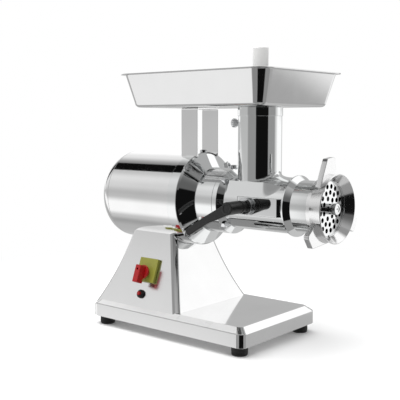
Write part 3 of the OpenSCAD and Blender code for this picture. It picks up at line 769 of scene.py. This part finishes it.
def build_ring_nut():
    low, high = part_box("ring_nut")
    plate_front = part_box("perforated_plate")[1].x
    length = high.x - low.x
    lip_x = plate_front - low.x
    r = 60 * MM
    body = turned("ring_body", rounded([
        (0, 49.7 * MM, 0), (0, 52 * MM, 0.8 * MM), (8 * MM, 53 * MM, 2 * MM),
        (length - 4 * MM, r - 0.8 * MM, 2 * MM), (length - 1 * MM, r, 1 * MM),
        (length, r - 1.5 * MM, 0.6 * MM),
        (lip_x + 3.5 * MM, 47.5 * MM, 0.8 * MM), (lip_x + 0.3 * MM, 47.5 * MM, 0),
        (lip_x + 0.3 * MM, 49.7 * MM, 0)]), low.x)
    tip = 88 * MM
    wing = rounded([
        (-38 * MM, 44 * MM, 0), (-14 * MM, tip - 4 * MM, 6 * MM), (-11 * MM, tip, 3 * MM),
        (10 * MM, tip, 3 * MM),
        (14 * MM, tip - 3 * MM, 4 * MM), (16 * MM, 44 * MM, 0)], 6)
    bore = rod("wing_cut", along_x(low.x - 0.1), along_x(high.x + 0.1), 52.6 * MM, 96)
    wings = []
    for angle in (96, 216, 336):
        up = spoke(angle)
        across = Vector((0, up.z, -up.y))
        where = basis(across, up, across.cross(up), along_x(high.x - 15 * MM))
        wings.append(sheet_cut("wing", [wing], 10 * MM, 0.9 * MM, where, 3))
    winged = carve(combine("wings", wings), bore)
    place(combine("ring_nut_skin", [body, winged]), "ring_nut", finish="turned_ring")


# ---- Clamp lever -------------------------------------------------------------------------------

def build_lever():
    stud = middle("clamp_stud")
    hub_far = -64.5 * MM
    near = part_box("clamp_lever")[0].y
    hub_l = hub_far - near
    hub = lathe("lever_hub", rounded([
        (0, 0, 0), (0, 8.5 * MM, 1 * MM), (4 * MM, 9.5 * MM, 1 * MM), (10 * MM, 9.5 * MM, 0.8 * MM),
        (11 * MM, 11 * MM, 0.8 * MM), (16 * MM, 11.5 * MM, 0.6 * MM), (16.6 * MM, 10.2 * MM, 0.4 * MM),
        (17.8 * MM, 10.2 * MM, 0.4 * MM), (18.4 * MM, 11.5 * MM, 0.6 * MM), (hub_l, 11.5 * MM, 1.6 * MM),
        (hub_l, 7.4 * MM, 0.3 * MM), (hub_l - 0.8 * MM, 6.4 * MM, 0.3 * MM), (hub_l - 0.8 * MM, 0, 0)]),
        (stud.x, hub_far, AXIS_Z), (0, -1, 0), 96)
    lean = math.radians(28.7)
    arm_l, arm_t = 106 * MM, 9 * MM
    outline = rounded([
        (6 * MM, -9 * MM, 4 * MM), (-8 * MM, -7 * MM, 6 * MM), (-8 * MM, 9 * MM, 7 * MM),
        (6 * MM, 10 * MM, 4 * MM),
        (52 * MM, 4.5 * MM, 90 * MM), (arm_l, 6.5 * MM, 6.2 * MM), (arm_l, -6.5 * MM, 6.2 * MM),
        (52 * MM, -9 * MM, 90 * MM)], 8)
    forward = Vector((-math.cos(lean), 0, -math.sin(lean)))
    across = Vector((math.sin(lean), 0, -math.cos(lean)))
    arm_y = near + 1.5 * MM + arm_t / 2
    where = basis(forward, across, forward.cross(across), Vector((stud.x, arm_y, AXIS_Z)))
    arm = sheet_cut("lever_arm", [outline], arm_t, 1.6 * MM, where, 4)
    place(combine("lever_skin", [hub, arm]), "clamp_lever")
    tip = where @ Vector((arm_l - 8 * MM, 0, -arm_t / 2 - 1.2 * MM))
    tip_screw = socket_head("lever_tip_screw", tip, (0, -1, 0), 3.4 * MM, 1.4 * MM)
    place(tip_screw, "clamp_lever", slot="tool_steel")

    collar_low, collar_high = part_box("clamp_collar")
    depth = collar_high.y - collar_low.y
    place(lathe("collar_skin", rounded([
        (0, 6.05 * MM, 0), (0, 13.5 * MM, 0.6 * MM), (2.2 * MM, 13.5 * MM, 0.5 * MM),
        (2.2 * MM, 15.5 * MM, 1 * MM), (depth, 15.5 * MM, 1.2 * MM), (depth, 10 * MM, 0.6 * MM),
        (depth - 0.8 * MM, 9.4 * MM, 0.3 * MM), (depth - 0.8 * MM, 6.05 * MM, 0.2 * MM)]),
        (stud.x, collar_high.y, AXIS_Z), (0, -1, 0), 96), "clamp_collar")


# ---- Tray, support and pusher ------------------------------------------------------------------

def build_tray():
    low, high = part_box("tray")
    centre = (low + high) / 2
    half = (high - low) / 2
    wall = 1.5 * MM
    floor_z, rim_z = low.z, high.z
    foot_in, top_in = 22 * MM, 8 * MM
    rim = [(0, rim_z - 1.6 * MM), (0, rim_z - 0.5 * MM), (0.5 * MM, rim_z), (top_in - 1.2 * MM, rim_z),
           (top_in + 0.6 * MM, rim_z - 0.5 * MM), (top_in + 1.6 * MM, rim_z - 2.2 * MM)]
    bend_r = 8 * MM

    def bend(inset, z, radius, upwards):
        """Steps round the bottom bend, from the wall to the floor or back."""
        steps = [
            (inset + radius * (1 - math.cos(a)), z + radius * (1 - math.sin(a)))
            for a in (TURN / 4 * k / 6 for k in range(7))
        ]
        return steps[::-1] if upwards else steps

    profile = bend(foot_in, floor_z, bend_r, True)
    profile += [
        (top_in, rim_z - 3.2 * MM), (top_in - 0.6 * MM, rim_z - 2 * MM),
        (top_in - 1.6 * MM, rim_z - 1.6 * MM)]
    profile += rim
    profile += bend(foot_in + wall, floor_z + wall, bend_r - wall, False)

    def ring(inset, z):
        return round_rect(centre, half.x - inset, half.y - inset, max(30 * MM - inset * 0.5, 6 * MM), z, 12)

    rings = [ring(s, z) for s, z in profile]
    inner_floor = rings[-1]
    hole_r = 34.3 * MM
    hole = (THROAT_X, 0)
    rings.append(circle_like(inner_floor, hole, hole_r, floor_z + wall))
    rings.append(circle_like(inner_floor, hole, hole_r, floor_z))
    place(loft("tray_skin", rings, closed=True), "tray")

    spigot_low, spigot_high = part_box("tray_spigot")
    height = spigot_high.z - spigot_low.z
    place(lathe("spigot_skin", rounded([
        (0, 34.2 * MM, 0.3 * MM), (0, 35.7 * MM, 0.6 * MM), (height, 35.7 * MM, 0.2 * MM),
        (height, 34.2 * MM, 0.6 * MM)]), (THROAT_X, 0, spigot_low.z), (0, 0, 1), 128), "tray_spigot")


def build_tray_support():
    low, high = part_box("tray_support")
    t = 3 * MM
    half = high.y
    outline = rounded([
        (-half, low.z, 0), (-half, high.z, 4 * MM), (half, high.z, 4 * MM), (half, low.z, 0),
        (half - t, low.z, 0), (half - t, high.z - t, 1.5 * MM), (-half + t, high.z - t, 1.5 * MM),
        (-half + t, low.z, 0)])
    where = basis((0, 1, 0), (0, 0, 1), (1, 0, 0), Vector(((low.x + high.x) / 2, 0, 0)))
    place(sheet_cut("support_skin", [outline], high.x - low.x, 0.5 * MM, where), "tray_support")


def build_thumb_screw():
    low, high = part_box("tray_thumb_screw")
    z = (low.z + high.z) / 2

    def knurl(angle, along, radius):
        return 1 + (0.05 * math.cos(14 * angle) if along < 7.2 * MM and radius > 7 * MM else 0)

    place(lathe("thumb_screw_skin", rounded([
        (0, 0, 0), (0, 6.5 * MM, 1 * MM), (0.8 * MM, 8 * MM, 0.8 * MM), (6.2 * MM, 8 * MM, 0.8 * MM),
        (7 * MM, 6.2 * MM, 0.6 * MM), (13 * MM, 5.5 * MM, 0.6 * MM), (13 * MM, 3 * MM, 0.3 * MM),
        (26 * MM, 3 * MM, 0.4 * MM), (26 * MM, 0, 0)]),
        (low.x, 0, z), (1, 0, 0), 168, knurl), "tray_thumb_screw")


def build_pusher():
    low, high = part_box("pusher_rod")
    length = high.z - low.z
    r = (high.x - low.x) / 2
    place(lathe("pusher_rod_skin", rounded([
        (0, 0, 0), (0, r, 0), (length - 1 * MM, r, 3.5 * MM), (length, r * 0.6, 4 * MM), (length, 0, 0)], 8),
        (THROAT_X, 0, low.z), (0, 0, 1), 96), "pusher_rod")
    head_low, head_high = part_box("pusher_head")
    head_h = head_high.z - head_low.z
    place(lathe("pusher_head_skin", rounded([
        (0, 0, 0), (0, 33 * MM, 2 * MM), (14 * MM, 33 * MM, 1.5 * MM), (head_h, r, 1 * MM),
        (head_h, 0, 0)], 6),
        (THROAT_X, 0, head_low.z), (0, 0, 1), 96), "pusher_head")


# ---- Controls ----------------------------------------------------------------------------------

def on_panel(x, z):
    """Matrix on the near pedestal wall: X along the base, Y up the wall and Z outwards."""
    step = 0.1 * MM
    slope = (flare_half(z + step) - flare_half(z - step)) / (2 * step)
    lean = -math.atan(slope)
    normal = Vector((0, -math.cos(lean), math.sin(lean)))
    return basis((1, 0, 0), normal.cross(Vector((1, 0, 0))), normal, Vector((x, -flare_half(z), z)))


SWITCH = (-117.5 * MM, 117 * MM)
RESET = (-121 * MM, 73 * MM)


def build_switch():
    here = on_panel(*SWITCH)
    outwards = here.to_3x3() @ Vector((0, 0, 1))
    half, depth, gap, drop = 23.5 * MM, 6 * MM, 0.5 * MM, 6 * MM
    plate = rounded([(u * half, v * half, 2 * MM) for u, v in ((-1, -1), (1, -1), (1, 1), (-1, 1))], 8)
    body = sheet_cut("switch_plate_body", [plate, circle(8.1 * MM, 48, (0, -drop))], depth, 0.7 * MM,
                     here @ Matrix.Translation((0, 0, gap + depth / 2)), 3)
    ring = [(-0.2 * MM, 8.3 * MM), (-0.2 * MM, 17 * MM), (0.15 * MM, 17 * MM), (0.15 * MM, 8.3 * MM)]
    dial = lathe("switch_dial", ring, here @ Vector((0, -drop, gap + depth)), outwards, 96)
    place(combine("switch_plate_skin", [body, dial]), "switch_plate")

    top = here @ Matrix.Translation((0, -drop, gap + depth))
    disc = lathe("handle_disc", rounded([
        (-3.5 * MM, 0, 0), (-3.5 * MM, 8 * MM, 0.3 * MM), (6.5 * MM, 8 * MM, 0), (6.5 * MM, 13 * MM, 1 * MM),
        (8.5 * MM, 14 * MM, 1 * MM), (11 * MM, 13.6 * MM, 1 * MM), (11.6 * MM, 12 * MM, 0.6 * MM),
        (11.6 * MM, 0, 0)]),
        top.translation, outwards, 96)
    bar_outline = rounded([
        (-6.5 * MM, -23 * MM, 1.6 * MM), (6.5 * MM, -23 * MM, 1.6 * MM),
        (6.5 * MM, 11 * MM, 1.6 * MM), (-6.5 * MM, 11 * MM, 1.6 * MM)], 6)
    bar_place = top @ Matrix.Translation((0, 0, 18.65 * MM))
    bar = sheet_cut("handle_bar", [bar_outline], 15.3 * MM, 1 * MM, bar_place, 3)
    hole_start, hole_end = (top @ Vector((0, 3 * MM, out)) for out in (20 * MM, 30 * MM))
    bar = carve(bar, rod("bar_hole", hole_start, hole_end, 2.2 * MM, 32))
    place(combine("switch_handle_skin", [disc, bar]), "switch_handle")


def build_reset():
    here = on_panel(*RESET)
    normal = here.to_3x3() @ Vector((0, 0, 1))
    place(lathe("bezel_skin", rounded([
        (-5 * MM, 4.3 * MM, 0), (-5 * MM, 6 * MM, 0), (0.4 * MM, 6 * MM, 0), (0.4 * MM, 8.5 * MM, 0.5 * MM),
        (4.2 * MM, 8 * MM, 2 * MM), (6.4 * MM, 6 * MM, 1.4 * MM), (6.4 * MM, 4.3 * MM, 0.5 * MM)], 6),
        here.translation, normal, 96), "reset_bezel")
    place(lathe("reset_button_skin", rounded([
        (-1 * MM, 0, 0), (-1 * MM, 4 * MM, 0), (9 * MM, 4 * MM, 1.5 * MM), (10 * MM, 2 * MM, 2 * MM),
        (10 * MM, 0, 0)], 6),
        here.translation, normal, 64), "reset_button")


def build_gland():
    low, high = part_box("cable_gland")
    y, z = (low.y + high.y) / 2, (low.z + high.z) / 2
    wall_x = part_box("base_shell")[0].x
    nut_place = basis((0, 1, 0), (0, 0, 1), (1, 0, 0), Vector((wall_x - 2.5 * MM, y, z)))
    nut = sheet_cut("gland_nut", [circle(10 * MM, 6), circle(4 * MM, 48)], 5 * MM, 0.6 * MM, nut_place, 3)
    length = wall_x - low.x + 6 * MM
    tube = lathe("gland_tube", rounded([
        (0, 4 * MM, 0.6 * MM), (0, 7.2 * MM, 1 * MM), (1.5 * MM, 8 * MM, 0.6 * MM),
        (length - 11 * MM, 8 * MM, 0.3 * MM),
        (length - 11 * MM, 7.7 * MM, 0), (length, 7.7 * MM, 0.4 * MM), (length, 4 * MM, 0.4 * MM)]),
        (low.x, y, z), (1, 0, 0), 64)
    place(combine("gland_skin", [nut, tube]), "cable_gland")


def dress_cad_nodes():
    """Gives every CAD node that has no new piece standing for it its own slot's material."""
    for name, node in frame["nodes"].items():
        if node.hide_render:
            continue
        node.data.materials.clear()
        node.data.materials.append(MATERIALS[SLOTS[name]])


# ---- Studio ------------------------------------------------------------------------------------

def math_node(tree, operation, a, b=None):
    """One step of arithmetic on numbers or sockets."""
    node = tree.nodes.new("ShaderNodeMath")
    node.operation = operation
    for socket, value in zip(node.inputs, (a, b)):
        if value is None:
            continue
        if isinstance(value, (int, float)):
            socket.default_value = value
        else:
            tree.links.new(value, socket)
    return node.outputs["Value"]


def ramp_up(tree, value, start, end):
    """0 up to start, 1 from end on, smooth between."""
    node = tree.nodes.new("ShaderNodeMapRange")
    node.interpolation_type = "SMOOTHSTEP"
    node.inputs["From Min"].default_value = start
    node.inputs["From Max"].default_value = end
    tree.links.new(value, node.inputs["Value"])
    return node.outputs["Result"]


def inside(tree, value, low, high, soft):
    """1 where value is between low and high, fading over soft."""
    rise = ramp_up(tree, value, low - soft / 2, low + soft / 2)
    fall = ramp_up(tree, value, high - soft / 2, high + soft / 2)
    return math_node(tree, "MULTIPLY", rise, math_node(tree, "SUBTRACT", 1, fall))


def blend_level(tree, level, target, mask):
    """level where mask is 0, target where it is 1."""
    node = tree.nodes.new("ShaderNodeMix")
    node.data_type = "FLOAT"
    for key, value in (("Factor", mask), ("A", level), ("B", target)):
        if isinstance(value, (int, float)):
            node.inputs[key].default_value = value
        else:
            tree.links.new(value, node.inputs[key])
    return node.outputs["Result"]


def graded(tree, value, stops):
    """Level as a smooth curve through (angle, level) stops, angles from -180 to 180 degrees."""
    ramp = tree.nodes.new("ShaderNodeValToRGB")
    ramp.color_ramp.interpolation = "EASE"
    elements = ramp.color_ramp.elements
    elements.remove(elements[1])
    elements[0].position = (stops[0][0] + 180) / 360
    elements[0].color = (*[stops[0][1]] * 3, 1)
    for angle, level in stops[1:]:
        elements.new((angle + 180) / 360).color = (level, level, level, 1)
    tree.links.new(math_node(tree, "DIVIDE", math_node(tree, "ADD", value, 180), 360), ramp.inputs["Fac"])
    return ramp.outputs["Color"]


def build_world():
    """White studio whose reflections hold grey cards, a dark camera side and one overhead black strip."""
    world = bpy.data.worlds.new("studio")
    bpy.context.scene.world = world
    world.use_nodes = True
    tree = world.node_tree
    tree.nodes.clear()
    direction = tree.nodes.new("ShaderNodeTexCoord").outputs["Generated"]
    parts = tree.nodes.new("ShaderNodeSeparateXYZ")
    tree.links.new(direction, parts.inputs["Vector"])
    x, y, z = parts.outputs
    degree = 180 / math.pi

    def both(a, b):
        return math_node(tree, "MULTIPLY", a, b)

    def but_not(mask):
        return math_node(tree, "SUBTRACT", 1, mask)

    azimuth = both(math_node(tree, "ARCTAN2", y, x), degree)
    height = both(math_node(tree, "ARCSINE", z), degree)
    roll = both(math_node(tree, "ARCTAN2", z, both(y, -1)), degree)

    def zone(level, target, az_low, az_high, low, high, soft=6):
        """Sets level to target inside a window of azimuth and height, in degrees."""
        window = both(inside(tree, azimuth, az_low, az_high, soft), inside(tree, height, low, high, soft))
        return blend_level(tree, level, target, window)

    # Round the horizon: grey behind, bright beside the outlet, grey cards beside the camera
    level = graded(tree, azimuth, [
        (-180, 0.38), (-155, 0.53), (-131, 0.49), (-122, 0.36), (-112, 0.32), (24, 0.33), (36, 0.75),
        (51, 1.15), (85, 1.15), (99, 0.70), (126, 0.50), (157, 0.32)])
    level = zone(level, 0.48, 30, 130, -28, -13, 2)  # the front skirt's view of the floor
    level = zone(level, 0.62, 30, 130, -80, -28, 2)  # below that, for faces turned down
    level = zone(level, 1.2, 45, 92, 22, 70, 10)  # lights above the outlet
    level = zone(level, 0.50, 67, 118, 1, 27, 3)  # grey outline on the pedestal's far corner
    level = zone(level, blend_level(tree, 0.13, 0.48, ramp_up(tree, height, 24, 60)), -76, -12, 10, 75, 5)
    level = zone(level, 0.006, -76, -12, -44, 16, 3)  # the dark room behind the camera

    # Lights over the rear half, as long boxes along X: levels by angle about X, from the switch side upwards
    boxes = graded(tree, roll, [
        (-180, 0.60), (-95, 0.50), (-75, 0.40), (-60, 0.62), (-44, 1.10), (-23, 1.10), (-4, 0.57), (6, 0.53),
        (26, 0.73), (46, 0.83), (64, 0.62), (84, 0.27), (92, 0.28), (122, 0.90), (150, 1.15)])
    behind = but_not(ramp_up(tree, x, -0.56, -0.48))
    far_behind = but_not(ramp_up(tree, x, -0.640, -0.625))
    upper = ramp_up(tree, roll, 88, 94)
    where = math_node(tree, "MAXIMUM", both(behind, but_not(upper)), both(far_behind, upper))
    level = blend_level(tree, level, boxes, where)
    black_strip = inside(tree, roll, 68, 92, 1.5)
    level = blend_level(tree, level, 0.004, both(behind, black_strip))

    path = tree.nodes.new("ShaderNodeLightPath")
    seen = blend_level(tree, level, 1.0, path.outputs["Is Camera Ray"])
    seen = blend_level(tree, seen, 0.75, path.outputs["Is Diffuse Ray"])
    background = tree.nodes.new("ShaderNodeBackground")
    background.inputs["Color"].default_value = (1, 1, 1, 1)
    tree.links.new(seen, background.inputs["Strength"])
    output = tree.nodes.new("ShaderNodeOutputWorld")
    tree.links.new(background.outputs["Background"], output.inputs["Surface"])


def soft_light(name, location, target, size_m, energy):
    """Square area light that shiny surfaces don't reflect."""
    data = bpy.data.lights.new(name, "AREA")
    data.shape = "SQUARE"
    data.size = size_m
    data.energy = energy
    lamp = bpy.data.objects.new(name, data)
    lamp.location = location
    lamp.rotation_euler = (Vector(target) - Vector(location)).to_track_quat("-Z", "Y").to_euler()
    lamp.visible_glossy = False
    bpy.context.scene.collection.objects.link(lamp)


def build_floor():
    """White floor that takes the object's shadow and turns into plain white further out."""
    reach = 30
    corners = [(u * reach, v * reach, 0) for u, v in ((-1, -1), (1, -1), (1, 1), (-1, 1))]
    floor = piece_from("floor", corners, [(0, 1, 2, 3)])
    material, tree, shader = new_material("floor_white")
    grain = texture(tree, "ShaderNodeTexNoise", 3, Detail=2)
    grain_share = ranged(tree, grain.outputs["Fac"], 0, 1)
    tree.links.new(tinted(tree, grain_share, [0.93] * 3, [0.95] * 3), shader.inputs["Base Color"])
    shader.inputs["Roughness"].default_value = 0.9
    shader.inputs["Specular IOR Level"].default_value = 0.1
    coordinates = tree.nodes.new("ShaderNodeTexCoord")
    length = tree.nodes.new("ShaderNodeVectorMath")
    length.operation = "LENGTH"
    tree.links.new(coordinates.outputs["Object"], length.inputs[0])
    white = tree.nodes.new("ShaderNodeEmission")
    white.inputs["Strength"].default_value = 1
    white.inputs["Color"].default_value = (1, 1, 1, 1)
    mix = tree.nodes.new("ShaderNodeMixShader")
    tree.links.new(ramp_up(tree, length.outputs["Value"], 0.35, 1.0), mix.inputs["Fac"])
    tree.links.new(shader.outputs["BSDF"], mix.inputs[1])
    tree.links.new(white.outputs["Emission"], mix.inputs[2])
    tree.links.new(mix.outputs["Shader"], tree.nodes["Material Output"].inputs["Surface"])
    floor.data.materials.append(material)
    floor.visible_glossy = False


def build_camera():
    """Camera low in front of the outlet corner, on the side with the switch."""
    data = bpy.data.cameras.new("camera")
    data.lens = 68.4
    data.sensor_width = 36
    camera = bpy.data.objects.new("camera", data)
    camera.location = (895.6 * MM, -1134.8 * MM, 405.5 * MM)
    camera.rotation_euler = (math.radians(84.114), 0, math.radians(39.94))
    bpy.context.scene.collection.objects.link(camera)
    bpy.context.scene.camera = camera


for build in (
        build_base, build_feet, build_pedestal, build_drum, build_casting,
        build_barrel, build_throat, build_head_fasteners, build_plate, build_ring_nut,
        build_lever, build_tray, build_tray_support, build_thumb_screw, build_pusher,
        build_switch, build_reset, build_gland, dress_cad_nodes):
    build()
build_world()
build_floor()
soft_light("overhead", (-0.4, -0.3, 2.2), (0, 0, 0.1), 2.2, 60)
build_camera()
bpy.context.scene.view_settings.view_transform = "Standard"
